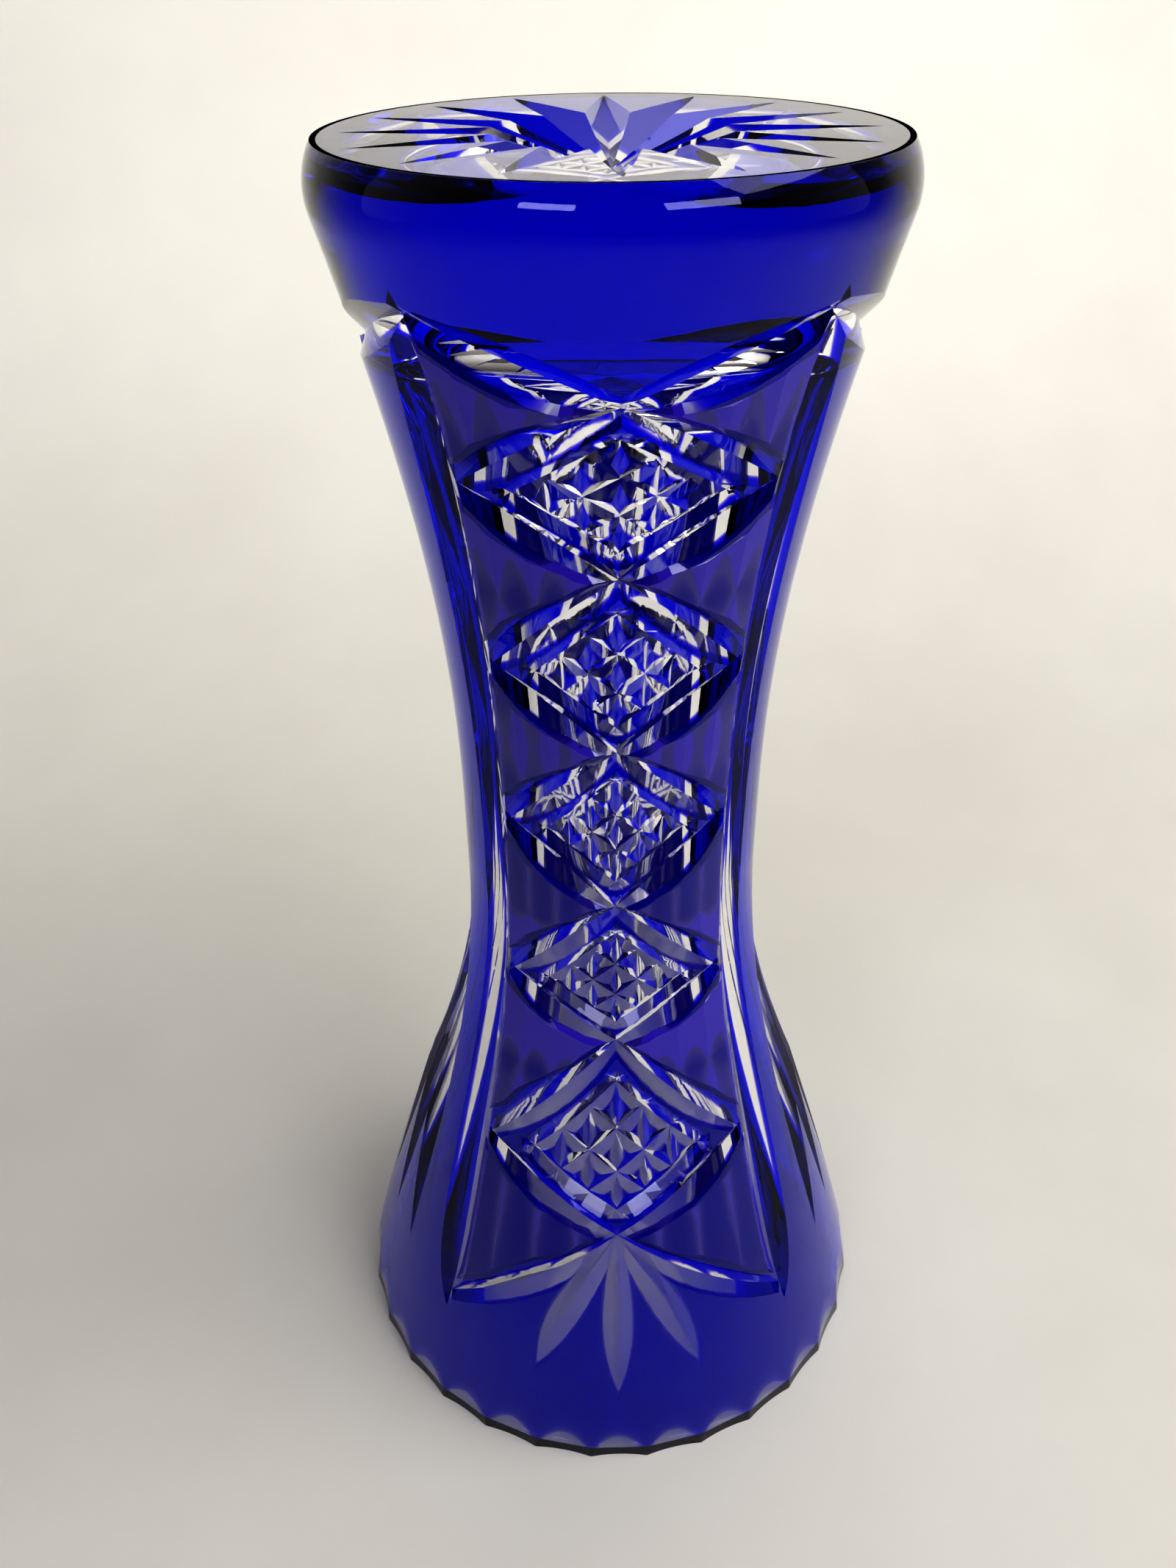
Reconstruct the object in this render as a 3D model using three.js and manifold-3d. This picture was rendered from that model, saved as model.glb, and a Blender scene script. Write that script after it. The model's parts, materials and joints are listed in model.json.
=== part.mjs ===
// Cut crystal vase: a clear lead crystal body under a thin cobalt casing.
// The wheel cuts go through the casing, so the casing is left as separate islands of blue glass.
// The vase stands on its mouth: z = 0 is the rim plane, +Z runs up to the star-cut base, the axis is Z.
import * as THREE from 'three';
import { mergeVertices } from 'three/addons/utils/BufferGeometryUtils.js';
import Module from 'manifold-3d';

const wasm = await Module();
wasm.setup();

// ---- Driving dimensions, mm and degrees ----

// Outer form
const height = 250;
const rimRadius = 58.65;
const waistRadius = 28.4;
const waistHeight = 123;
const shoulderRadius = 44.5; // where the flare meets the rounded shoulder
const shoulderDrop = 9.5; // level of that point under the base plane
const shoulderRounding = 12;
const rimLean = 14.1; // lean of the wall from the vertical at the rim
const shoulderLean = 15.9; // and at the shoulder
const rimPull = 55.8; // how far the straight flare reaches from the rim towards the waist
const waistPullBelow = 32.8;
const waistPullAbove = 26.4;
const shoulderPull = 62.5;

// Walls
const casingThickness = 0.9;
const rimWall = 5;
const waistWall = 7;
const cavityTopWall = 8.5;
const footThickness = 22; // solid glass under the base plane
const domeHeight = 7; // rounding of the cavity's closed end
const gap = 0.3; // between the body and the casing
const chipSize = 6; // loose chips of casing smaller than this are ground away

// Flutes: four long cuts up the wall
const panelCount = 4;
const fluteBottom = 23.5;
const fluteTopDrop = 14; // level of the upper tip under the base plane
const fluteWidth = 10.5;
const fluteWaistWidth = 8;
const fluteDepth = 2.8;
const fluteSweep = 5; // degrees that a flute's middle bends towards the side panel
const fluteMargin = 6; // degrees from a flute's end to where a diamond's side tip shows

// Diamond chain on the front and back panels, from the upper crossing down to the fan
const topCrossingDrop = 28.6;
const fanLevel = 54.1;
const diamondShares = [0.165, 0.198, 0.199, 0.181, 0.257];
const tipShares = [0.52, 0.57, 0.53, 0.63, 0.63]; // side tips, down from each diamond's top
const borderWidth = 5.8;
const borderDepth = 2.3;
const joinDepth = casingThickness + 0.6; // depth kept where a cut runs into the next one
const hatchInset = 0.62; // hatched field against the diamond, tip to tip
const hatchDepth = casingThickness + 0.25; // just through the casing

// Arms and leaves
const armWidth = 7;
const armDepth = 2.4;
const armRunIn = 6; // how far inside a flute's pointed tip an arm meets it
const leafWidth = 6.6;
const leafDepth = 2.2;
const centreLeafTip = 14.8;
const sideLeafTip = 19.5;
const sideLeafAngle = 20;
const sprayTop = 150;
const sprayDrop = 12; // each leaf of the spray starts this much under the one before
const sprayTips = [21, 24, 18]; // levels, from the middle leaf outwards
const sprayAngle = 11.5;
const sprayGather = 0.3; // spacing of the leaves' upper ends against their lower tips
const sprayLeafWidth = 7.6;

// Rim scallops and the star in the base
const scallopCount = 30;
const scallopHeight = 9;
const scallopDepth = 1.3;
const scallopWheelRadius = 40;
const starRays = 16;
const starRadius = 40.5;
const starDepth = 4.5;
const starRayWidth = 8.5;
const starOverrun = 0.04; // how far past the middle a ray starts, against its length

// Fineness of the facets
const turnSegments = 32;
const profileSteps = 6;
const roundingSteps = 2;
const cavitySteps = 7;
const cutSteps = 3;
const fluteSteps = 20;
const sprayLeafSteps = 4;
const starSteps = 3;
const domeSteps = 4;
const wheelSegments = 24;

// ---- Outer form ----

const degrees = THREE.MathUtils.degToRad;
const lift = 1.2; // how far a cutter stands proud of the surface
const panelAngle = 360 / panelCount;
const fluteAngle = panelAngle / 2;
const fluteTop = height - fluteTopDrop;

// One side of the outer form as (radius, level) points, from the rim up to the base plane.
function outerProfile() {
  const rim = new THREE.Vector2(rimRadius, 0);
  const waist = new THREE.Vector2(waistRadius, waistHeight);
  const shoulder = new THREE.Vector2(shoulderRadius, height - shoulderDrop);
  const inward = new THREE.Vector2(-Math.sin(degrees(rimLean)), Math.cos(degrees(rimLean)));
  const outward = new THREE.Vector2(Math.sin(degrees(shoulderLean)), Math.cos(degrees(shoulderLean)));
  const lower = new THREE.CubicBezierCurve(
    rim,
    rim.clone().addScaledVector(inward, rimPull),
    new THREE.Vector2(waistRadius, waistHeight - waistPullBelow),
    waist,
  );
  const upper = new THREE.CubicBezierCurve(
    waist,
    new THREE.Vector2(waistRadius, waistHeight + waistPullAbove),
    shoulder.clone().addScaledVector(outward, -shoulderPull),
    shoulder,
  );
  const centre = new THREE.Vector2(
    shoulderRadius - shoulderRounding * outward.y,
    height - shoulderDrop + shoulderRounding * outward.x,
  );
  const endAngle = Math.asin((height - centre.y) / shoulderRounding);
  const startAngle = -degrees(shoulderLean);
  const rounding = new THREE.EllipseCurve(
    centre.x, centre.y, shoulderRounding, shoulderRounding, startAngle, endAngle);
  return [
    ...lower.getPoints(profileSteps),
    ...upper.getPoints(profileSteps).slice(1),
    ...rounding.getPoints(roundingSteps).slice(1),
  ];
}

const profile = outerProfile();

// The profile moved inwards along its own normals, still running from z = 0 to the base plane.
function insetProfile(distance) {
  const inset = profile.map((point, i) => {
    const before = profile[Math.max(i - 1, 0)];
    const after = profile[Math.min(i + 1, profile.length - 1)];
    const along = after.clone().sub(before).normalize();
    return new THREE.Vector2(point.x - along.y * distance, point.y + along.x * distance);
  });
  inset[0].set(inset[0].x, 0);
  inset[inset.length - 1].y = height;
  return inset;
}

function radiusAt(level) {
  const last = profile.length - 1;
  const above = THREE.MathUtils.clamp(profile.findIndex((point) => point.y >= level), 1, last);
  const a = profile[above - 1];
  const b = profile[above];
  return a.x + ((b.x - a.x) * (level - a.y)) / (b.y - a.y);
}

// Place on the outer surface, with the direction straight out of the glass there.
function onSurface(angle, level) {
  const turn = degrees(angle - 90);
  const slope = radiusAt(level + 1) - radiusAt(level - 1);
  const radius = radiusAt(level);
  const out = new THREE.Vector3(Math.cos(turn), Math.sin(turn), -slope / 2).normalize();
  return { place: new THREE.Vector3(radius * Math.cos(turn), radius * Math.sin(turn), level), out };
}

// ---- Solids ----

// A closed geometry as a solid that can be joined and cut.
function solid(geometry) {
  const bare = geometry.clone();
  bare.deleteAttribute('normal');
  bare.deleteAttribute('uv');
  const merged = mergeVertices(bare, 1e-4);
  const corners = Array.from(merged.index.array);
  const triangles = [];
  for (let i = 0; i < corners.length; i += 3) {
    const [a, b, c] = corners.slice(i, i + 3);
    if (a !== b && b !== c && c !== a) triangles.push(a, b, c);
  }
  return new wasm.Manifold(new wasm.Mesh({
    numProp: 3,
    vertProperties: new Float32Array(merged.attributes.position.array),
    triVerts: new Uint32Array(triangles),
  }));
}

function turned(points) {
  return solid(new THREE.LatheGeometry(points, turnSegments).rotateX(Math.PI / 2));
}

function joined(solids) {
  return solids.reduce((whole, next) => whole.add(next));
}

// The separate bodies of a solid, each as its own geometry.
function islands(cut) {
  const { vertProperties, triVerts } = cut.getMesh();
  const owner = Array.from({ length: vertProperties.length / 3 }, (_, i) => i);
  const find = (i) => {
    while (owner[i] !== i) i = owner[i] = owner[owner[i]];
    return i;
  };
  for (let i = 0; i < triVerts.length; i += 3) {
    owner[find(triVerts[i])] = find(triVerts[i + 1]);
    owner[find(triVerts[i + 1])] = find(triVerts[i + 2]);
  }
  const bodies = new Map();
  for (let i = 0; i < triVerts.length; i += 3) {
    const body = find(triVerts[i]);
    if (!bodies.has(body)) bodies.set(body, []);
    bodies.get(body).push(...triVerts.slice(i, i + 3));
  }
  return [...bodies.values()].map((triangles) => {
    const geometry = new THREE.BufferGeometry();
    const corners = triangles.flatMap((v) => [...vertProperties.slice(v * 3, v * 3 + 3)]);
    geometry.setAttribute('position', new THREE.Float32BufferAttribute(corners, 3));
    return mergeVertices(geometry, 1e-5);
  });
}

// ---- Wheel cuts ----

function closedMesh(corners, faces) {
  const geometry = new THREE.BufferGeometry();
  geometry.setAttribute('position', new THREE.Float32BufferAttribute(corners, 3));
  geometry.setIndex(faces);
  return solid(geometry);
}

// A wedge that follows a row of stations: its edge runs `depth` under each place, and it widens
// outwards, by `spread` to each side for each millimetre of height.
function wedge(stations) {
  const corners = [];
  const faces = [];
  const ring = 3; // corners of the wedge's section
  stations.forEach(({ place, out, side, depth, spread }, i) => {
    const half = (depth + lift) * spread;
    const top = place.clone().addScaledVector(out, lift);
    corners.push(...place.clone().addScaledVector(out, -depth));
    corners.push(...top.clone().addScaledVector(side, half));
    corners.push(...top.clone().addScaledVector(side, -half));
    if (i === 0) return;
    const now = ring * i;
    const before = now - ring;
    for (let k = 0; k < ring; k += 1) {
      const next = (k + 1) % ring;
      faces.push(before + k, now + next, before + next, before + k, now + k, now + next);
    }
  });
  const end = ring * (stations.length - 1);
  faces.push(0, 1, 2, end, end + 2, end + 1);
  return closedMesh(corners, faces);
}

const arch = (t) => Math.sin(Math.PI * t);

// A mitre cut over the wall between two places, each given as [angle, level, depth kept there].
// sweep bends it sideways by that many degrees at its middle.
function wallCut(from, to, width, depth, steps = cutSteps, bow = arch, sweep = 0) {
  const mix = (k, t) => THREE.MathUtils.lerp(from[k], to[k], t);
  const at = (t) => onSurface(mix(0, t) + sweep * arch(t), mix(1, t));
  const stations = [];
  for (let i = 0; i <= steps; i += 1) {
    const t = (1 - Math.cos((Math.PI * i) / steps)) / 2;
    const { place, out } = at(t);
    const step = 0.01;
    const side = at(t + step).place.sub(at(t - step).place).cross(out).normalize();
    const kept = mix(2, t);
    stations.push({
      place, out, side,
      depth: kept + (depth - kept) * bow(t),
      spread: width / 2 / depth,
    });
  }
  return wedge(stations);
}

const tipDepth = -0.3; // a pointed end leaves the glass

// The angle of a flute's middle line from the centre of the diamond panel, at a level.
function fluteAngleAt(level) {
  return fluteAngle + fluteSweep * arch((level - fluteBottom) / (fluteTop - fluteBottom));
}

// A flute's middle bends away from the diamond panel beside it.
function flute(angle) {
  const sweep = Math.sign(Math.sin(degrees(2 * angle))) * fluteSweep;
  const bow = (t) => {
    const fromWaist = Math.abs(2 * t - 1);
    const widening = fluteWaistWidth / fluteWidth;
    const body = widening + (1 - widening) * fromWaist ** 1.5;
    return body * (1 - fromWaist ** 12);
  };
  const bottom = [angle, fluteBottom, tipDepth];
  const top = [angle, fluteTop, tipDepth];
  return wallCut(bottom, top, fluteWidth, fluteDepth, fluteSteps, bow, sweep);
}

// Levels of the crossings of one diamond chain, top first.
function crossingLevels() {
  const top = height - topCrossingDrop;
  const chain = top - fanLevel;
  const levels = [top];
  for (const share of diamondShares) levels.push(levels.at(-1) - share * chain);
  return levels;
}

// The two arms that run from the upper crossing to the tips of the flutes beside the panel.
function arms(centre) {
  return [-1, 1].map((hand) => wallCut(
    [centre, height - topCrossingDrop, joinDepth],
    [centre + hand * fluteAngle, fluteTop - armRunIn, joinDepth],
    armWidth, armDepth,
  ));
}

// The hatched field in a diamond, taken down evenly: a curved rhombus round the diamond's middle.
function hatchedField(centre, top, bottom, tipLevel) {
  const reach = hatchInset * (fluteAngle - fluteMargin);
  const toward = (level) => tipLevel + (level - tipLevel) * hatchInset;
  const rim = [
    [centre, toward(top)],
    [centre - reach, tipLevel],
    [centre, toward(bottom)],
    [centre + reach, tipLevel],
  ];
  const places = [[centre, tipLevel], ...rim].map(([angle, level]) => onSurface(angle, level));
  const corners = [-hatchDepth, lift].flatMap((distance) => (
    places.flatMap(({ place, out }) => [...place.clone().addScaledVector(out, distance)])));
  const faces = [];
  const layer = places.length;
  for (let i = 1; i <= rim.length; i += 1) {
    const next = (i % rim.length) + 1;
    faces.push(0, next, i, layer, layer + i, layer + next);
    faces.push(i, layer + next, layer + i, i, next, layer + next);
  }
  return closedMesh(corners, faces);
}

// A diamond's four border cuts and its hatched field.
function diamond(centre, top, bottom, tipShare) {
  const tipLevel = top + (bottom - top) * tipShare;
  const cuts = [];
  for (const end of [top, bottom]) {
    for (const hand of [-1, 1]) {
      const tip = [centre + hand * fluteAngleAt(tipLevel), tipLevel, joinDepth];
      cuts.push(wallCut([centre, end, joinDepth], tip, borderWidth, borderDepth));
    }
  }
  cuts.push(hatchedField(centre, top, bottom, tipLevel));
  return cuts;
}

// The fan under the chain: two long arms to the flutes' lower tips, and three leaves.
function fan(centre) {
  const root = [centre, fanLevel, joinDepth];
  const cuts = [-1, 1].map((hand) => wallCut(
    root, [centre + hand * fluteAngle, fluteBottom + armRunIn, joinDepth], leafWidth, leafDepth));
  for (const hand of [-1, 0, 1]) {
    const tip = hand === 0 ? centreLeafTip : sideLeafTip;
    cuts.push(wallCut(root, [centre + hand * sideLeafAngle, tip, tipDepth], leafWidth, leafDepth));
  }
  return cuts;
}

// A spray of long leaves on each side panel, fanning out down to the rim.
function spray(centre) {
  const cuts = [];
  sprayTips.forEach((tip, i) => {
    for (const hand of i === 0 ? [0] : [-1, 1]) {
      const spread = hand * i * sprayAngle;
      cuts.push(wallCut(
        [centre + spread * sprayGather, sprayTop - sprayDrop * i, tipDepth],
        [centre + spread, tip, tipDepth],
        sprayLeafWidth, leafDepth, sprayLeafSteps,
      ));
    }
  });
  return cuts;
}

// Thumb cuts round the outside of the rim, made by a small wheel.
function scallops() {
  const foot = rimRadius - scallopDepth;
  const crest = radiusAt(scallopHeight);
  const lean = Math.atan2(crest - foot, scallopHeight);
  const length = 3 * scallopHeight; // reaches past the cut at both ends
  return Array.from({ length: scallopCount }, (_, i) => {
    const wheel = new THREE.CylinderGeometry(
      scallopWheelRadius, scallopWheelRadius, length, wheelSegments);
    wheel.rotateX(Math.PI / 2);
    wheel.translate(scallopWheelRadius, 0, 0);
    wheel.rotateY(lean);
    wheel.translate(foot, 0, 0);
    wheel.rotateZ(((i + 0.5) * 2 * Math.PI) / scallopCount);
    return solid(wheel);
  });
}

// The rays cut into the base from its middle, running out to a point short of its edge.
function star() {
  return Array.from({ length: starRays }, (_, i) => {
    const ray = (i * 2 * Math.PI) / starRays;
    const along = new THREE.Vector3(Math.cos(ray), Math.sin(ray), 0);
    const out = new THREE.Vector3(0, 0, 1);
    const stations = [];
    for (let k = 0; k <= starSteps; k += 1) {
      const share = THREE.MathUtils.lerp(-starOverrun, 1, k / starSteps);
      stations.push({
        place: along.clone().multiplyScalar(share * starRadius).setZ(height),
        out,
        side: along.clone().cross(out),
        depth: k === starSteps ? tipDepth : starDepth * (1 - Math.abs(share) ** 1.6),
        spread: starRayWidth / 2 / starDepth,
      });
    }
    return wedge(stations);
  });
}

const levels = crossingLevels();
const panelCuts = [0, 2].flatMap((panel) => {
  const centre = panel * panelAngle;
  const diamonds = diamondShares.flatMap((_, i) => (
    diamond(centre, levels[i], levels[i + 1], tipShares[i])));
  return [...arms(centre), ...diamonds, ...fan(centre)];
});
const sideCuts = [1, 3].flatMap((panel) => (
  [...arms(panel * panelAngle), ...spray(panel * panelAngle)]));
const flutes = Array.from({ length: panelCount }, (_, i) => flute(fluteAngle + i * panelAngle));
const wallCuts = joined([...flutes, ...panelCuts, ...sideCuts]);
const rimCuts = joined(scallops());

// ---- The crystal body ----

// Inner wall as (radius, level) points, from the closed end's middle down to the rim.
function cavityProfile() {
  const top = height - footThickness;
  const spring = top - domeHeight;
  const wallAt = (level) => {
    if (level < waistHeight) return THREE.MathUtils.lerp(rimWall, waistWall, level / waistHeight);
    const share = (level - waistHeight) / (spring - waistHeight);
    return THREE.MathUtils.lerp(waistWall, cavityTopWall, share);
  };
  const inner = (level) => new THREE.Vector2(radiusAt(level) - wallAt(level), level);
  const wide = inner(spring).x;
  const quarter = new THREE.EllipseCurve(0, spring, wide, domeHeight, Math.PI / 2, 0, true);
  const dome = quarter.getPoints(domeSteps);
  const wall = Array.from({ length: cavitySteps }, (_, i) => (
    inner(spring * (1 - (i + 1) / cavitySteps))));
  dome[0].x = 0;
  return [...dome, ...wall];
}

function crystalBody() {
  const outer = insetProfile(casingThickness + gap);
  const points = [...cavityProfile(), ...outer, new THREE.Vector2(0, height)];
  return turned(points).subtract(wallCuts).subtract(rimCuts).subtract(joined(star()));
}

// ---- The casing ----

function casing() {
  const inner = insetProfile(casingThickness).reverse();
  const shell = turned([...profile, ...inner, profile[0]]);
  return shell.subtract(wallCuts).subtract(rimCuts);
}

// ---- Assembly ----

const crystal = new THREE.MeshStandardMaterial({ color: '#dfe2ee', roughness: 0.03 });
crystal.name = 'clear_crystal';
const cobalt = new THREE.MeshStandardMaterial({ color: '#10069c', roughness: 0.04 });
cobalt.name = 'cobalt_glass';

const vase = new THREE.Group();

function addNode(name, geometry, look) {
  geometry.computeVertexNormals();
  const mesh = new THREE.Mesh(geometry, look.clone());
  mesh.name = name;
  vase.add(mesh);
}

// Where an island lies: its middle's level and its angle round the axis, 0 at the front.
function whereabouts(geometry) {
  geometry.computeBoundingBox();
  const box = geometry.boundingBox;
  const middle = box.getCenter(new THREE.Vector3());
  return {
    geometry,
    low: box.min.z,
    level: middle.z,
    size: box.getSize(new THREE.Vector3()).length(),
    angle: THREE.MathUtils.radToDeg(Math.atan2(middle.x, -middle.y)),
    round: box.max.x - box.min.x > rimRadius && box.max.y - box.min.y > rimRadius,
  };
}

function addCasing() {
  const pieces = islands(casing()).map(whereabouts).filter((piece) => piece.size > chipSize);
  const counts = {};
  pieces.sort((a, b) => b.level - a.level);
  for (const piece of pieces) {
    const panel = Math.abs(piece.angle) < panelAngle ? 'front' : 'back';
    const offset = panel === 'front' ? piece.angle : -Math.sign(piece.angle) * (180 - Math.abs(piece.angle));
    let name = 'field';
    if (piece.round) name = piece.low < height / 2 ? 'rim_band' : 'base_collar';
    else if (Math.abs(offset) < sideLeafAngle / 2) name = `${panel}_diamond`;
    else name = `${panel}_${offset < 0 ? 'left' : 'right'}_field`;
    counts[name] = (counts[name] ?? 0) + 1;
    addNode(piece.round ? name : `${name}_${counts[name]}`, piece.geometry, cobalt);
  }
}

addNode('crystal_body', islands(crystalBody())[0], crystal);
addCasing();

export default vase;
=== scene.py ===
# %% [markdown]
# # A cut-to-clear crystal vase
# The vase is blown in clear lead crystal under a thin skin of cobalt glass. A cutter then grinds
# through the blue with V-edged wheels, so every cut shows clear. It stands mouth down on its rim.
# The CAD model fixes the size and the place of each piece. This script gives the fine surface:
# a turned glass body with real grooves, and the islands of blue that the grooves leave.

# %% Load the CAD frame
import bpy
import bmesh
import json
import math
from mathutils import Matrix, Vector

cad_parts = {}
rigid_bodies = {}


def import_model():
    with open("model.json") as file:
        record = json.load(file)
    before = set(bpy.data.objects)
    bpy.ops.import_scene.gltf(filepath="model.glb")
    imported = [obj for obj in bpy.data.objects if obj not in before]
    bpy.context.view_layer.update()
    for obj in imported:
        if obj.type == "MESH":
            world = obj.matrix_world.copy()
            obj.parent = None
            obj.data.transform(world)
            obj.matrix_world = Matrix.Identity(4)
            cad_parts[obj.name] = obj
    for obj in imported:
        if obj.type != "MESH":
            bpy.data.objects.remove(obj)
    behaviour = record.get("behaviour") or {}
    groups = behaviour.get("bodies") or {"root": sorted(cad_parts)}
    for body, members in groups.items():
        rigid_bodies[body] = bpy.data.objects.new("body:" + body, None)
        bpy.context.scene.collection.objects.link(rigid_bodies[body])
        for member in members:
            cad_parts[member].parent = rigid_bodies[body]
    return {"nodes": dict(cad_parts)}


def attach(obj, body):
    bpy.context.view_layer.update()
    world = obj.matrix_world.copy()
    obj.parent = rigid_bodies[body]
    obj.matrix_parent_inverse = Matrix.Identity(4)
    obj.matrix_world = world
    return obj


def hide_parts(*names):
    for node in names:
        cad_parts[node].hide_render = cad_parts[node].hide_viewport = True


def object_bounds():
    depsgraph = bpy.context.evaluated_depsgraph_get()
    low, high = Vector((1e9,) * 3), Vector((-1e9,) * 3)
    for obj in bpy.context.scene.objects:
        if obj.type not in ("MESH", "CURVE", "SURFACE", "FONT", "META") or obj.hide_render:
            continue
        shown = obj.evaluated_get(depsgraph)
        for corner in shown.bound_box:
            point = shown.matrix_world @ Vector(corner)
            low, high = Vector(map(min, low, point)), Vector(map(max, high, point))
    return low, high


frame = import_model()
cad_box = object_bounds()
mm = 0.001
low, high = cad_box
height = high.z - low.z
print("CAD box, mm:", [round(v / mm, 1) for v in (*low, *high)])

# %% [markdown]
# ## The outer form
# A blown vase is a turned shape, so one side line is enough. The line has three stretches: a flare
# from the rim to the waist, a flare from the waist to the shoulder, and a round shoulder that the
# flat base cuts off. Two Bezier curves and an arc describe it with very few numbers, and a fine
# list of points along them gives the radius and the slope at any level.

# %% Side line of the vase
rim_radius = 58.65 * mm
waist_radius = 28.4 * mm
waist_level = 123 * mm
shoulder_radius = 44.5 * mm
shoulder_level = height - 9.5 * mm
shoulder_rounding = 12 * mm
rim_lean = math.radians(14.1)
shoulder_lean = math.radians(15.9)
# how far each curve reaches along its end slopes before it bends away
rim_pull = 55.8 * mm
waist_pull_below = 32.8 * mm
waist_pull_above = 26.4 * mm
shoulder_pull = 62.5 * mm
arc_steps = 12


def bezier(a, b, c, d, count):
    """Points along a cubic Bezier curve."""
    steps = [i / count for i in range(count + 1)]
    return [
        a * (1 - t) ** 3 + b * 3 * t * (1 - t) ** 2 + c * 3 * t * t * (1 - t) + d * t**3
        for t in steps
    ]


def side_line(count):
    """The outer form as (radius, level) points, from the rim up to the base plane."""
    rim = Vector((rim_radius, 0))
    waist = Vector((waist_radius, waist_level))
    shoulder = Vector((shoulder_radius, shoulder_level))
    inward = Vector((-math.sin(rim_lean), math.cos(rim_lean)))
    outward = Vector((math.sin(shoulder_lean), math.cos(shoulder_lean)))
    up = Vector((0, 1))
    below = (rim + inward * rim_pull, waist - up * waist_pull_below)
    above = (waist + up * waist_pull_above, shoulder - outward * shoulder_pull)
    line = bezier(rim, *below, waist, count)
    line += bezier(waist, *above, shoulder, count)[1:]
    centre = shoulder + Vector((-outward.y, outward.x)) * shoulder_rounding
    first = -shoulder_lean
    last = math.asin((height - centre.y) / shoulder_rounding)
    for i in range(1, arc_steps + 1):
        turn = first + (last - first) * i / arc_steps
        line.append(centre + Vector((math.cos(turn), math.sin(turn))) * shoulder_rounding)
    line[-1].y = height
    return line


outline = side_line(90)
print("side line:", len(outline), "points, base radius", round(outline[-1].x / mm, 1), "mm")


# %% Radius at a level, and places on the wall
def radius_at(level):
    """Outer radius at a level, read off the side line."""
    for a, b in zip(outline, outline[1:]):
        if b.y >= level:
            return a.x + (b.x - a.x) * (level - a.y) / (b.y - a.y)
    return outline[-1].x


def on_wall(angle, level):
    """A place on the outer wall and the direction straight out of the glass there."""
    turn = math.radians(angle - 90)
    radius = radius_at(level)
    slope = (radius_at(level + mm) - radius_at(level - mm)) / (2 * mm)
    out = Vector((math.cos(turn), math.sin(turn), -slope)).normalized()
    return Vector((radius * math.cos(turn), radius * math.sin(turn), level)), out


def inset(line, at_rim, at_base):
    """The side line moved into the glass, by a distance that drifts from the rim to the base."""
    moved = []
    for i, point in enumerate(line):
        along = (line[min(i + 1, len(line) - 1)] - line[max(i - 1, 0)]).normalized()
        distance = at_rim + (at_base - at_rim) * point.y / height
        moved.append(point + Vector((-along.y, along.x)) * distance)
    moved[0].y = 0
    moved[-1].y = height
    return moved


# %% [markdown]
# ## Turned solids
# A Screw modifier could spin the profile, but the next step cuts the result, and cutting needs a
# closed mesh with single points on the axis. Building the rings by hand gives exactly that.

# %% Spin a profile into a closed mesh
def mesh_object(name, corners, faces):
    """A new mesh object with its faces turned outwards."""
    mesh = bpy.data.meshes.new(name)
    mesh.from_pydata([tuple(c) for c in corners], [], faces)
    shaped = bmesh.new()
    shaped.from_mesh(mesh)
    bmesh.ops.recalc_face_normals(shaped, faces=shaped.faces)
    shaped.to_mesh(mesh)
    shaped.free()
    made = bpy.data.objects.new(name, mesh)
    bpy.context.scene.collection.objects.link(made)
    return made


def spin(name, points, segments, closed=False):
    """A turned solid. The points start and end on the axis, or close on themselves."""
    corners = []
    rings = []
    for point in points:
        if point.x < 1e-7:
            rings.append([len(corners)] * segments)
            corners.append((0, 0, point.y))
            continue
        rings.append(list(range(len(corners), len(corners) + segments)))
        for k in range(segments):
            turn = 2 * math.pi * k / segments
            corners.append((point.x * math.cos(turn), point.x * math.sin(turn), point.y))
    faces = []
    pairs = list(zip(rings, rings[1:])) + ([(rings[-1], rings[0])] if closed else [])
    for a, b in pairs:
        for k in range(segments):
            n = (k + 1) % segments
            corner_ring = [a[k], a[n], b[n], b[k]]
            face = [v for i, v in enumerate(corner_ring) if v not in corner_ring[:i]]
            faces.append(face)
    return mesh_object(name, corners, faces)


# %% [markdown]
# ## Wheel cuts
# A mitre wheel has a V-shaped edge. Pressed in and rolled along the glass it leaves a groove with
# two flat walls, deepest in the middle and running out to a point at each end. Each cutter here is
# a wedge that follows the wall: its sharp edge runs under the surface and it opens outwards.

# %% A wedge along a row of stations
lift = 1.2 * mm  # a cutter stands this proud of the glass
casing_clearance = 0.07 * mm  # the blue stops this far short of a groove's wall


def wedge(stations, extra=0.0):
    """A wedge from (place, out, side, depth, spread) stations. extra makes it a little larger."""
    corners = []
    faces = []
    for i, (place, out, side, depth, spread) in enumerate(stations):
        half = (depth + extra + lift) * spread
        top = place + out * lift
        corners += [place - out * (depth + extra), top + side * half, top - side * half]
        if i:
            for k in range(3):
                n = (k + 1) % 3
                now = 3 * i
                faces.append((now - 3 + k, now - 3 + n, now + n, now + k))
    last = len(corners) - 3
    faces += [(0, 1, 2), (last, last + 2, last + 1)]
    return corners, faces


def arch(t):
    """Depth along a cut: nothing at the ends and full in the middle."""
    return math.sin(math.pi * t)


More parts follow.
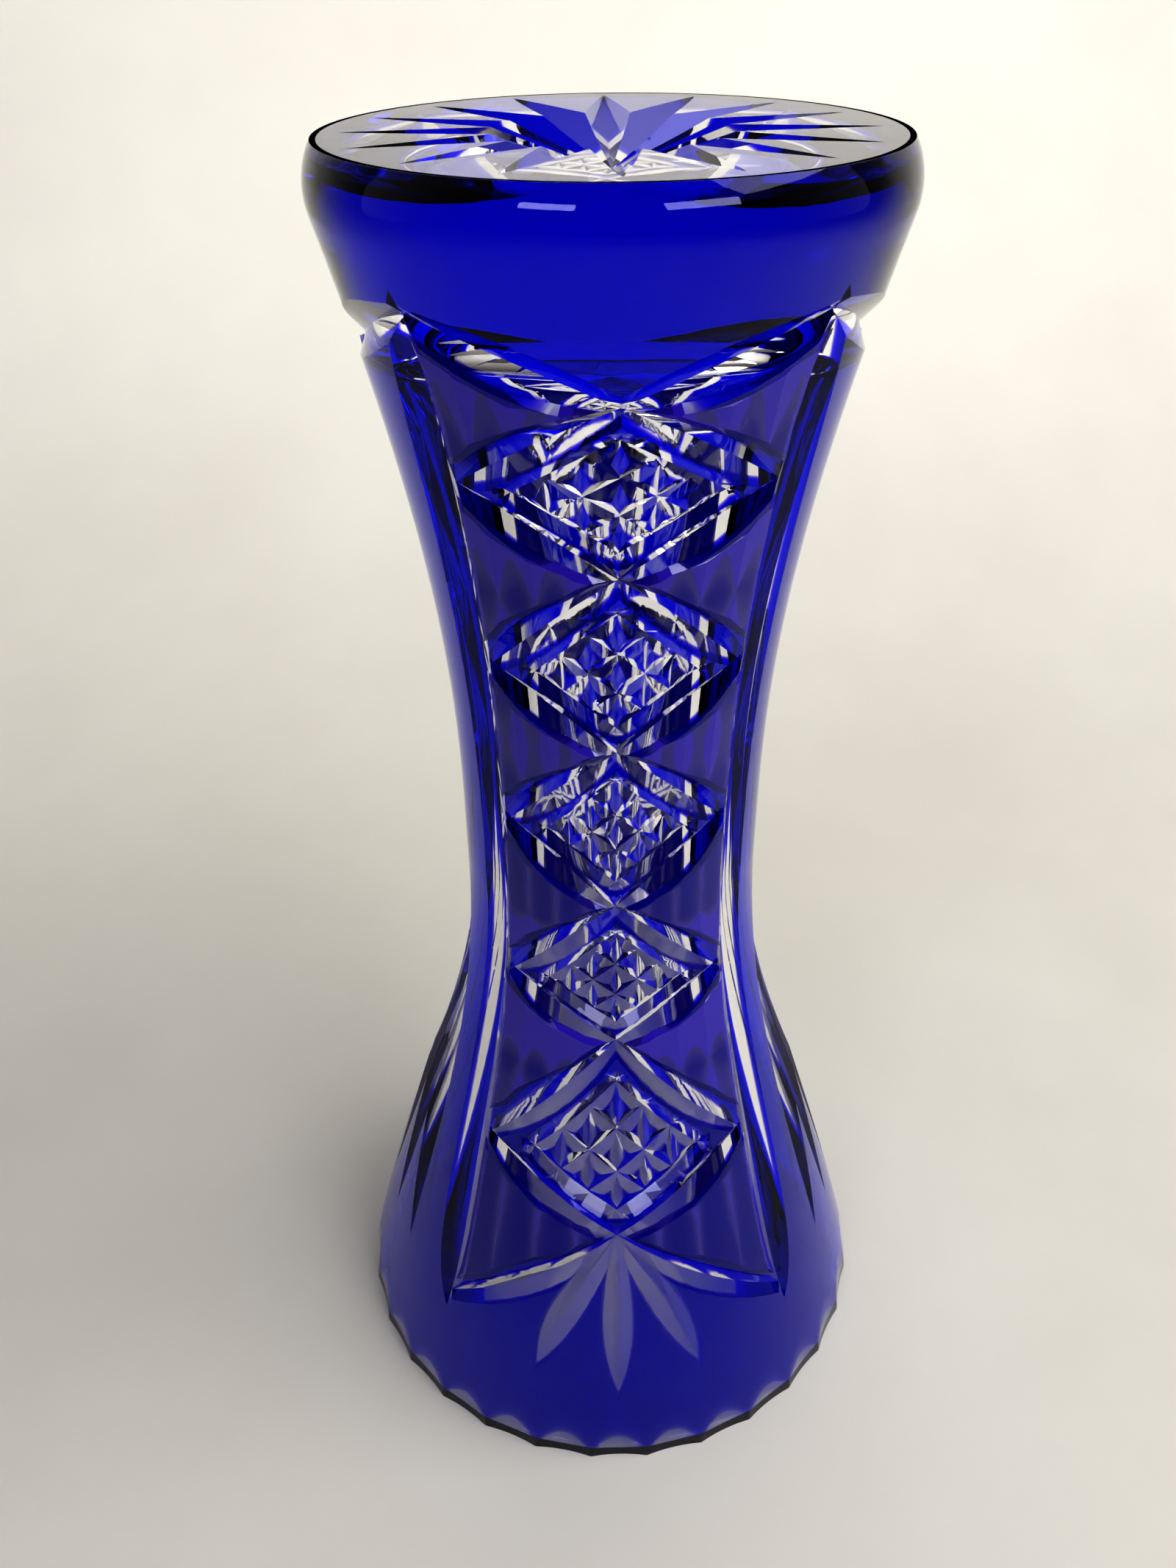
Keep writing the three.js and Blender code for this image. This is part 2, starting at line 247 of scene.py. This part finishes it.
def wall_cut(start, end, width, depth, extra=0.0, steps=14, bow=arch, sweep=0.0):
    """A mitre cut between two (angle, level, kept depth) places. sweep bends it sideways."""
    stations = []

    def at(t):
        angle = start[0] + (end[0] - start[0]) * t + sweep * arch(t)
        level = start[1] + (end[1] - start[1]) * t
        return on_wall(angle, level)

    for i in range(steps + 1):
        t = (1 - math.cos(math.pi * i / steps)) / 2
        place, out = at(t)
        ahead = at(t + 0.01)[0] - at(t - 0.01)[0]
        side = ahead.cross(out).normalized()
        kept = start[2] + (end[2] - start[2]) * t
        stations.append((place, out, side, kept + (depth - kept) * bow(t), width / 2 / depth))
    return wedge(stations, extra)


# %% [markdown]
# ## The pattern
# Four panels go round the vase between four long flutes. The front and back panels hold a chain
# of five hatched diamonds over a fan of leaves. The side panels hold a spray of long leaves. The
# motifs could be modelled once and instanced, but each one has to follow the curve of the wall.
# So each is a small function that returns its cutters, and it is repeated by angle. Angles are in
# degrees from the front, to the viewer's right.

# %% Sizes of the pattern
flute_angle = 45
flute_sweep = 5  # degrees that a flute's middle bends away from the diamonds
flute_bottom = 23.5 * mm
flute_top = height - 14 * mm
top_crossing = height - 28.6 * mm
fan_level = 54.1 * mm
diamond_shares = (0.165, 0.198, 0.199, 0.181, 0.257)
tip_shares = (0.52, 0.57, 0.53, 0.63, 0.63)
join_depth = 1.3 * mm
run_out = -0.25 * mm  # a pointed end leaves the glass
run_in = 4.5 * mm  # how far inside a flute's tip an arm meets it
# width and depth of each kind of cut
flute_size = (12.5 * mm, 2.9 * mm)
arm_size = (8 * mm, 2.6 * mm)
border_size = (7.2 * mm, 2.5 * mm)
crossing_size = (5.6 * mm, 1.85 * mm)
upright_size = (4 * mm, 1.5 * mm)
fan_arm_size = (6.6 * mm, 2.3 * mm)
fan_leaf_size = (8 * mm, 2.5 * mm)
middle_leaf_size = (8 * mm, 2.6 * mm)
spray_size = (10 * mm, 2.6 * mm)

crossings = [top_crossing]
for share in diamond_shares:
    crossings.append(crossings[-1] - share * (top_crossing - fan_level))
print("crossings, mm:", [round(level / mm, 1) for level in crossings])


# %% Flutes and arms
def flute(angle, extra):
    """One long cut up the wall, narrower round the waist and bent away from the diamonds."""
    at_waist = 0.68  # its depth at the waist against its depth near the ends

    def bow(t):
        from_waist = abs(2 * t - 1)
        return (at_waist + (1 - at_waist) * from_waist**1.5) * (1 - from_waist**12)

    start = (angle, flute_bottom, run_out)
    end = (angle, flute_top, run_out)
    sweep = flute_sweep if angle % 180 < 90 else -flute_sweep
    return [wall_cut(start, end, *flute_size, extra, 48, bow, sweep)]


def arms(centre, extra):
    """Two arms from the upper crossing to the tips of the flutes."""
    start = (centre, top_crossing, join_depth)
    ends = [(centre + hand * flute_angle, flute_top - run_in, join_depth) for hand in (-1, 1)]
    return [wall_cut(start, end, *arm_size, extra) for end in ends]


# %% Diamonds
def blunt(t):
    """Depth of a cut that stays even and runs out quickly at both ends."""
    return 1 - abs(2 * t - 1) ** 6


def diamond(centre, top, bottom, tip_share, extra):
    """Four border cuts, four fine cuts each way across the field, and five upright ones."""
    tip = top + (bottom - top) * tip_share
    reach = flute_angle - 5
    cuts = []
    for end in (top, bottom):
        for hand in (-1, 1):
            side_tip = (centre + hand * (reach + 2), tip, 0.9 * mm)
            cuts.append(wall_cut((centre, end, join_depth), side_tip, *border_size, extra))

    def place(u, v, kept):
        """A place in the diamond: u and v run from -1 to 1 between its corners."""
        level = tip + v * ((top - tip) if v > 0 else (tip - bottom))
        return (centre + u * reach, level, kept)

    reach_of_row = 0.88
    for row in (-0.66, -0.22, 0.22, 0.66):
        for hand in (-1, 1):
            ends = [
                place(hand * (row + s * reach_of_row) / 2, (row - s * reach_of_row) / 2, run_out)
                for s in (-1, 1)
            ]
            cuts.append(wall_cut(*ends, *crossing_size, extra, 10, blunt))
    for column in (-0.44, -0.22, 0, 0.22, 0.44):
        end = 0.82 - abs(column)
        ends = [place(column, s * end, run_out) for s in (-1, 1)]
        cuts.append(wall_cut(*ends, *upright_size, extra, 8, blunt))
    return cuts


# %% Fans and sprays
def fan(centre, extra):
    """Two long arms to the flutes and three leaves between them."""
    root = (centre, fan_level, join_depth)
    cuts = []
    for hand in (-1, 1):
        arm_end = (centre + hand * flute_angle, flute_bottom + run_in, join_depth)
        leaf_end = (centre + hand * 20, 19.5 * mm, run_out)
        cuts.append(wall_cut(root, arm_end, *fan_arm_size, extra))
        cuts.append(wall_cut(root, leaf_end, *fan_leaf_size, extra, sweep=hand * 2.5))
    cuts.append(wall_cut(root, (centre, 14.5 * mm, run_out), *middle_leaf_size, extra))
    return cuts


def spray(centre, extra):
    """Five long leaves that open out from the waist down to the rim."""
    gathered = 4.5  # degrees between the leaves at their upper ends
    opened = 13  # and at their tips
    cuts = []
    for i, tip in ((0, 21), (1, 24), (2, 26)):
        for hand in (-1, 1) if i else (0,):
            start = (centre + hand * i * gathered, (150 - 12 * i) * mm, run_out)
            end = (centre + hand * i * opened, tip * mm, run_out)
            cuts.append(wall_cut(start, end, *spray_size, extra, 30))
    return cuts


# %% Rim scallops and base star
def scallops(extra):
    """Thirty shallow thumb cuts round the outside of the rim, made with a broad wheel."""
    count = 30
    crest = 9 * mm
    wheel = 40 * mm
    deep = 1.3 * mm + extra
    foot = rim_radius - deep
    lean = math.atan2(radius_at(crest) - foot, crest)
    cuts = []
    for i in range(count):
        turn = Matrix.Rotation((i + 0.5) * 2 * math.pi / count, 4, "Z")
        set_out = turn @ Matrix.Translation((foot, 0, 0)) @ Matrix.Rotation(lean, 4, "Y")
        corners = []
        for level in (-4 * mm, 16 * mm):  # the wheel's two faces, clear of the cut
            for k in range(-12, 13):
                bend = math.radians(1.25 * k)
                edge = Vector((wheel * (1 - math.cos(bend)), wheel * math.sin(bend), level))
                corners.append(set_out @ edge)
            corners.append(set_out @ Vector((wheel, 0, level)))
        ring = len(corners) // 2
        faces = [tuple(range(ring)), tuple(range(2 * ring - 1, ring - 1, -1))]
        faces += [(k, (k + 1) % ring, ring + (k + 1) % ring, ring + k) for k in range(ring)]
        cuts.append((corners, faces))
    return cuts


def star():
    """Sixteen rays ground into the base, deepest at the middle."""
    rays = 16
    length = 40.5 * mm
    deepest = 5.2 * mm
    spread = 0.95  # half the ray's width against its depth
    steps = 12
    cuts = []
    out = Vector((0, 0, 1))
    for i in range(rays):
        turn = 2 * math.pi * i / rays
        along = Vector((math.cos(turn), math.sin(turn), 0))
        stations = []
        for k in range(steps + 1):
            share = -0.03 + 1.03 * k / steps  # a ray starts a little past the middle
            depth = deepest * (1 - abs(share) ** 1.5) + run_out * (k == steps)
            place = along * share * length + out * height
            stations.append((place, out, along.cross(out), depth, spread))
        cuts.append(wedge(stations))
    return cuts


# %% Gather the cutters
def pattern(extra):
    """Every cut in the wall and the rim."""
    cuts = scallops(extra)
    for panel in range(4):
        centre = 90 * panel
        cuts += flute(centre + flute_angle, extra) + arms(centre, extra)
        if panel % 2:
            cuts += spray(centre, extra)
            continue
        cuts += fan(centre, extra)
        for i, tip_share in enumerate(tip_shares):
            cuts += diamond(centre, crossings[i], crossings[i + 1], tip_share, extra)
    return cuts


def cut(target, cuts, name):
    """Grinds the cutters out of the target with the exact manifold solver."""
    cutters = bpy.data.collections.new(name)
    for i, (corners, faces) in enumerate(cuts):
        tool = mesh_object(f"{name}_{i}", corners, faces)
        bpy.context.scene.collection.objects.unlink(tool)
        cutters.objects.link(tool)
    grind = target.modifiers.new("grind", "BOOLEAN")
    grind.operation = "DIFFERENCE"
    grind.solver = "MANIFOLD"
    grind.operand_type = "COLLECTION"
    grind.collection = cutters
    ready = target.evaluated_get(bpy.context.evaluated_depsgraph_get())
    mesh = bpy.data.meshes.new_from_object(ready)
    target.modifiers.clear()
    target.data = mesh
    for tool in list(cutters.objects):
        bpy.data.meshes.remove(tool.data)
    bpy.data.collections.remove(cutters)
    print(target.name, "cut by", len(cuts), "cutters:", len(mesh.polygons), "faces")


# %% [markdown]
# ## The crystal body
# The body carries every surface that light meets: the outer wall with its cuts, the star in the
# base and the blown inside. Only this piece bends light, so the colour can be a separate thing.

# %% Turn and cut the crystal
wall_at_rim = 5 * mm
wall_at_waist = 7 * mm
wall_at_top = 8.5 * mm
cavity_top = height - 22 * mm
dome = 7 * mm
rim_bevel = 0.8 * mm
dome_steps = 24
wall_steps = 90


def cavity_line():
    """The inside as (radius, level) points, from the closed end down to the rim."""
    spring = cavity_top - dome

    def wall(level):
        if level < waist_level:
            return wall_at_rim + (wall_at_waist - wall_at_rim) * level / waist_level
        share = (level - waist_level) / (spring - waist_level)
        return wall_at_waist + (wall_at_top - wall_at_waist) * share

    wide = radius_at(spring) - wall(spring)
    line = []
    for i in range(dome_steps + 1):
        turn = math.pi / 2 * i / dome_steps
        line.append(Vector((wide * math.sin(turn), spring + dome * math.cos(turn))))
    line[0].x = 0
    for i in range(1, wall_steps + 1):
        level = spring * (1 - i / wall_steps)
        line.append(Vector((radius_at(level) - wall(level), level)))
    line[-1].y = rim_bevel
    line.append(Vector((line[-1].x + rim_bevel, 0)))
    return line


segments = 240
body_line = cavity_line() + outline + [Vector((0, height))]
crystal = spin("crystal", body_line, segments)
cut(crystal, pattern(0.0) + star(), "crystal_cutters")

# %% [markdown]
# ## The cobalt casing
# The skin is about a millimetre thick and sits just inside the crystal's outer surface. It is
# thinner at the rim, where blowing drew the glass out most. It is cut by the same wheels, a hair
# larger, so no two faces coincide. What remains falls apart into islands, and each island is
# named for the CAD piece that it stands for.

# %% Turn, cut and sort the casing
casing_outer = 0.04 * mm
casing_at_rim = 0.5 * mm
casing_at_base = 1.1 * mm
outer_line = inset(outline, casing_outer, casing_outer)
inner_line = inset(outline, casing_at_rim, casing_at_base)
shell_line = outer_line + inner_line[::-1]
casing = spin("casing", shell_line, segments, closed=True)
cut(casing, pattern(casing_clearance), "casing_cutters")


def loose_parts(mesh):
    """The separate bodies of a mesh, as lists of face numbers."""
    owner = list(range(len(mesh.vertices)))

    def find(i):
        while owner[i] != i:
            owner[i] = owner[owner[i]]
            i = owner[i]
        return i

    for edge in mesh.edges:
        a, b = edge.vertices
        owner[find(a)] = find(b)
    parts = {}
    for face in mesh.polygons:
        parts.setdefault(find(face.vertices[0]), []).append(face.index)
    return list(parts.values())


def home(points):
    """The CAD node that an island of casing belongs to, from its corners."""
    levels = [p.z for p in points]
    if max(levels) > height - mm:
        return "base_collar"
    if min(levels) < mm:
        return "rim_band"
    middle = sum(points, Vector()) / len(points)
    diamond_reach = flute_angle - 3  # degrees from the panel's middle to a diamond's side tip
    panel = "front" if middle.y < 0 else "back"
    turn = math.degrees(math.atan2(middle.x, -middle.y))
    if panel == "back":
        turn = math.degrees(math.atan2(-middle.x, middle.y))
    # what isn't between the flutes, or lies high over the chain, goes with the rim band
    headroom = 12 * mm
    in_panel = abs(turn) <= flute_angle and middle.z <= crossings[0] + headroom
    if not in_panel:
        return "rim_band"
    for i, share in enumerate(tip_shares):
        top, bottom = crossings[i], crossings[i + 1]
        if bottom <= middle.z <= top:
            tip = top + (bottom - top) * share
            rise = (middle.z - tip) / ((top - tip) if middle.z > tip else (tip - bottom))
            if abs(turn) / diamond_reach + abs(rise) < 1:
                return f"{panel}_diamond_{i + 1}"
    tips = [crossings[i] + (crossings[i + 1] - crossings[i]) * s for i, s in enumerate(tip_shares)]
    row = 1 + sum(middle.z < tip for tip in tips)
    return f"{panel}_{'left' if turn < 0 else 'right'}_field_{row}"


groups = {}
for faces in loose_parts(casing.data):
    used = {v for f in faces for v in casing.data.polygons[f].vertices}
    where = home([casing.data.vertices[v].co for v in used])
    groups.setdefault(where, []).extend(faces)
print(len(groups), "casing pieces from the islands")

# %% One object for each casing piece
casing_pieces = {}
for node, faces in groups.items():
    numbers = {}
    outlines = []
    for f in faces:
        outlines.append([numbers.setdefault(v, len(numbers)) for v in casing.data.polygons[f].vertices])
    corners = [casing.data.vertices[v].co for v in numbers]
    mesh = bpy.data.meshes.new(f"{node}_casing")
    mesh.from_pydata(corners, [], outlines)
    piece = bpy.data.objects.new(f"{node}_casing", mesh)
    bpy.context.scene.collection.objects.link(piece)
    casing_pieces[node] = piece
bpy.data.objects.remove(casing)

sharpest_smooth = math.radians(24)  # a turn steeper than this stays a crisp edge
for piece in [crystal, *casing_pieces.values()]:
    piece.data.shade_smooth()
    piece.data.set_sharp_from_angle(angle=sharpest_smooth)
print("smoothed", 1 + len(casing_pieces), "pieces")

# %% [markdown]
# ## Glass materials
# Lead crystal is clear, heavy and bright: its index of refraction is about 1.54 to 1.55, which is
# what makes the cuts flash. It is fire polished inside and wheel polished outside, so it carries
# only faint waves and hairlines. The cobalt skin has the same index as the crystal it is fused to,
# so light goes straight through the join: it only absorbs. A tinted surface could fake that, but
# then a thick place would look no deeper than a thin one. So the blue is a volume, and its
# surface bends nothing.

# %% Node helper and colours
def linear(code):
    """An sRGB hex colour as linear values."""
    parts = [int(code[i : i + 2], 16) / 255 for i in (1, 3, 5)]
    return [c / 12.92 if c <= 0.04045 else ((c + 0.055) / 1.055) ** 2.4 for c in parts]


def add(tree, kind, settings=None, **links):
    """A node with its settings and links. A link's name is a socket, with _ for a space."""
    node = tree.nodes.new(kind)
    for key, value in (settings or {}).items():
        if hasattr(node, key):
            setattr(node, key, value)
        else:
            node.inputs[key].default_value = value
    for key, value in links.items():
        tree.links.new(value, node.inputs[key.replace("_", " ")])
    return node


def new_material(name):
    """A material with an empty node tree, and that tree."""
    material = bpy.data.materials.new(name)
    material.use_nodes = True
    material.node_tree.nodes.clear()
    return material, material.node_tree


# %% Lead crystal, wheel cut and polished
def lead_crystal():
    """Clear crystal: hairlines from the polishing wheel 0.6 mm apart, slow waves 14 mm long."""
    material, tree = new_material("lead_crystal_wheel_polished")
    place = add(tree, "ShaderNodeTexCoord").outputs["Object"]
    waves = add(tree, "ShaderNodeTexNoise", {"Scale": 1 / (14 * mm), "Detail": 2.0}, Vector=place)
    hair = add(tree, "ShaderNodeTexNoise", {"Scale": 1 / (0.6 * mm), "Detail": 4.0}, Vector=place)
    mix = add(tree, "ShaderNodeMath", {"operation": "MULTIPLY_ADD"})
    tree.links.new(hair.outputs["Fac"], mix.inputs[0])
    mix.inputs[1].default_value = 0.02
    tree.links.new(waves.outputs["Fac"], mix.inputs[2])
    bump = add(tree, "ShaderNodeBump", {"Strength": 0.25, "Distance": 0.25 * mm}, Height=mix.outputs[0])
    haze = add(tree, "ShaderNodeMapRange", {"To Min": 0.0, "To Max": 0.03}, Value=hair.outputs["Fac"])
    glass = add(
        tree,
        "ShaderNodeBsdfPrincipled",
        {
            "Base Color": (*linear("#FCFCFF"), 1),
            "Transmission Weight": 1.0,
            "IOR": 1.545,
            "Specular Tint": (*linear("#9595B3"), 1),  # less sheen, as a polarising filter gives
        },
        Normal=bump.outputs["Normal"],
        Roughness=haze.outputs["Result"],
    )
    add(tree, "ShaderNodeOutputMaterial", Surface=glass.outputs["BSDF"])
    return material


# %% Cobalt glass, fused skin
def cobalt_casing():
    """Cobalt glass: a deep, even blue. Green dies out first, then red, and blue hardly at all."""
    material, tree = new_material("cobalt_glass_fused_casing")
    place = add(tree, "ShaderNodeTexCoord").outputs["Object"]
    drift = add(tree, "ShaderNodeTexNoise", {"Scale": 1 / (30 * mm), "Detail": 2.0}, Vector=place)
    tint = add(tree, "ShaderNodeValToRGB", Fac=drift.outputs["Fac"])
    tint.color_ramp.elements[0].color = (*linear("#D2D4FF"), 1)
    tint.color_ramp.elements[1].color = (*linear("#FFFFFF"), 1)
    skin = add(
        tree,
        "ShaderNodeBsdfPrincipled",
        {"Roughness": 0.0, "Transmission Weight": 1.0, "IOR": 1.0},
        Base_Color=tint.outputs["Color"],
    )
    per_mm = (10.2, 12.0, 0.33)  # how fast red, green and blue die out on their way through
    densest = max(per_mm)
    kept = [1 - share / densest for share in per_mm]
    absorb = {"Color": (*kept, 1), "Density": densest / mm}
    body = add(tree, "ShaderNodeVolumeAbsorption", absorb)
    add(tree, "ShaderNodeOutputMaterial", Surface=skin.outputs["BSDF"], Volume=body.outputs["Volume"])
    return material


# %% Fit the pieces to the frame
crystal.data.materials.clear()
crystal.data.materials.append(lead_crystal())
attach(crystal, "root")
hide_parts("crystal_body")
cobalt = cobalt_casing()
for node, piece in casing_pieces.items():
    piece.data.materials.append(cobalt)
    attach(piece, "root")
    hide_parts(node)
missing = [n for n in frame["nodes"] if n != "crystal_body" and n not in casing_pieces]
print("CAD casing nodes with no piece:", missing)

# %% [markdown]
# ## Floor and light
# A pale sweep under and behind the vase, one broad lamp above it to the right, a narrow one that
# washes the wall behind, two small windows and a dim room behind the camera. Cut glass needs both
# bright and dark round it: the sweep fills the cuts, and the dim side gives them dark edges.

# %% Floor
flat_reach = 0.16  # how far the flat floor runs behind the vase, in metres
bend = 0.3
far = 2.5
bend_steps = 24
sweep_line = [Vector((-far, 0)), Vector((flat_reach, 0))]
for i in range(1, bend_steps + 1):
    turn = math.pi / 2 * i / bend_steps
    sweep_line.append(Vector((flat_reach + bend * math.sin(turn), bend * (1 - math.cos(turn)))))
sweep_line.append(Vector((flat_reach + bend, far)))
corners = [(x, point.x, point.y) for point in sweep_line for x in (-far, far)]
faces = [(2 * i, 2 * i + 1, 2 * i + 3, 2 * i + 2) for i in range(len(sweep_line) - 1)]
floor = mesh_object("floor", corners, faces)
floor.data.shade_smooth()
paper, tree = new_material("matt_paper_sweep")
place = add(tree, "ShaderNodeTexCoord").outputs["Object"]
fibre = add(tree, "ShaderNodeTexNoise", {"Scale": 1 / (60 * mm), "Detail": 6.0}, Vector=place)
tone = add(tree, "ShaderNodeValToRGB", Fac=fibre.outputs["Fac"])
tone.color_ramp.elements[0].color = (*linear("#D5D3CB"), 1)
tone.color_ramp.elements[1].color = (*linear("#E1E0D8"), 1)
matt = add(tree, "ShaderNodeBsdfPrincipled", {"Roughness": 0.7}, Base_Color=tone.outputs["Color"])
add(tree, "ShaderNodeOutputMaterial", Surface=matt.outputs["BSDF"])
floor.data.materials.append(paper)
print("floor:", len(floor.data.polygons), "faces")


# %% Lamps
def lamp(name, place, aim, size, watts, colour="#FFFFFF"):
    """A soft rectangular lamp that faces a point."""
    light = bpy.data.lights.new(name, "AREA")
    light.shape = "RECTANGLE"
    light.size, light.size_y = size
    light.energy = watts
    light.color = linear(colour)
    holder = bpy.data.objects.new(name, light)
    holder.location = place
    holder.rotation_mode = "QUATERNION"
    holder.rotation_quaternion = (Vector(aim) - Vector(place)).to_track_quat("-Z", "Y")
    bpy.context.scene.collection.objects.link(holder)
    return holder


lamp("overhead", (0.55, -0.12, 0.85), (0.0, 0.05, 0.1), (0.8, 0.5), 5.6, "#FFFCF8")
wash = lamp("wall_wash", (0.1, 0.05, 0.8), (0.0, 0.46, 0.34), (0.9, 0.12), 1.05, "#FFFCF8")
wash.data.spread = math.radians(70)
lamp("window_left", (-0.35, -0.75, 0.62), (0, 0, 0.22), (0.3, 0.1), 1.3, "#F2F2FF")
lamp("window_right", (0.42, -0.7, 0.62), (0, 0, 0.22), (0.4, 0.12), 1.8, "#F2F2FF")
print("lamps:", [light.name for light in bpy.data.lights])

# %% Room
world = bpy.data.worlds.new("room")
world.use_nodes = True
bpy.context.scene.world = world
tree = world.node_tree
tree.nodes.clear()
toward = add(tree, "ShaderNodeTexCoord").outputs["Generated"]
axes = add(tree, "ShaderNodeSeparateXYZ", Vector=toward)
# dim behind the camera, bright behind the vase
dim_to_bright = {"From Min": -0.75, "From Max": 0.35}
depth_ramp = add(tree, "ShaderNodeMapRange", dim_to_bright, Value=axes.outputs["Y"])
room = add(tree, "ShaderNodeValToRGB", Fac=depth_ramp.outputs["Result"])
room.color_ramp.elements[0].color = (*linear("#2A2622"), 1)
room.color_ramp.elements[1].color = (*linear("#EEE5DA"), 1)
sky = add(tree, "ShaderNodeBackground", {"Strength": 0.4}, Color=room.outputs["Color"])
add(tree, "ShaderNodeOutputWorld", Surface=sky.outputs["Background"])
print("room:", len(tree.nodes), "nodes")

# %% [markdown]
# ## Camera
# A wide lens close above the vase, looking down at it, so the base looms and the rim is small.
# The picture is upright, so Blender fits the sensor's width to its taller side.

# %% Camera
pitch = math.radians(34.13)
yaw = math.radians(-1.2)
roll = math.radians(-0.59)
panel_turn = math.radians(-2.0)  # the front panel is turned a little past the lens
lens_place = (0, -0.837 * height, 1.110 * height)  # before the panel's turn
camera_data = bpy.data.cameras.new("camera")
camera_data.sensor_width = 36  # millimetres, along the longer side
camera_data.lens = 29.958
camera = bpy.data.objects.new("camera", camera_data)
bpy.context.scene.collection.objects.link(camera)
forward = Vector((math.sin(yaw) * math.cos(pitch), math.cos(yaw) * math.cos(pitch), -math.sin(pitch)))
right = Vector((math.cos(yaw), -math.sin(yaw), 0))
upward = right.cross(forward)
rolled_right = right * math.cos(roll) + upward * math.sin(roll)
rolled_up = upward * math.cos(roll) - right * math.sin(roll)
basis = Matrix((rolled_right, rolled_up, -forward)).transposed()
turn = Matrix.Rotation(panel_turn, 3, "Z")
stand = turn @ Vector(lens_place)
camera.matrix_world = Matrix.Translation(stand) @ (turn @ basis).to_4x4()
bpy.context.scene.camera = camera

# %% Tone and light paths
scene = bpy.context.scene
scene.view_settings.view_transform = "Standard"
scene.view_settings.look = "Medium High Contrast"
scene.cycles.max_bounces = 32
scene.cycles.transmission_bounces = 32
scene.cycles.glossy_bounces = 12
scene.cycles.transparent_max_bounces = 32
print("light paths:", scene.cycles.max_bounces, "bounces")
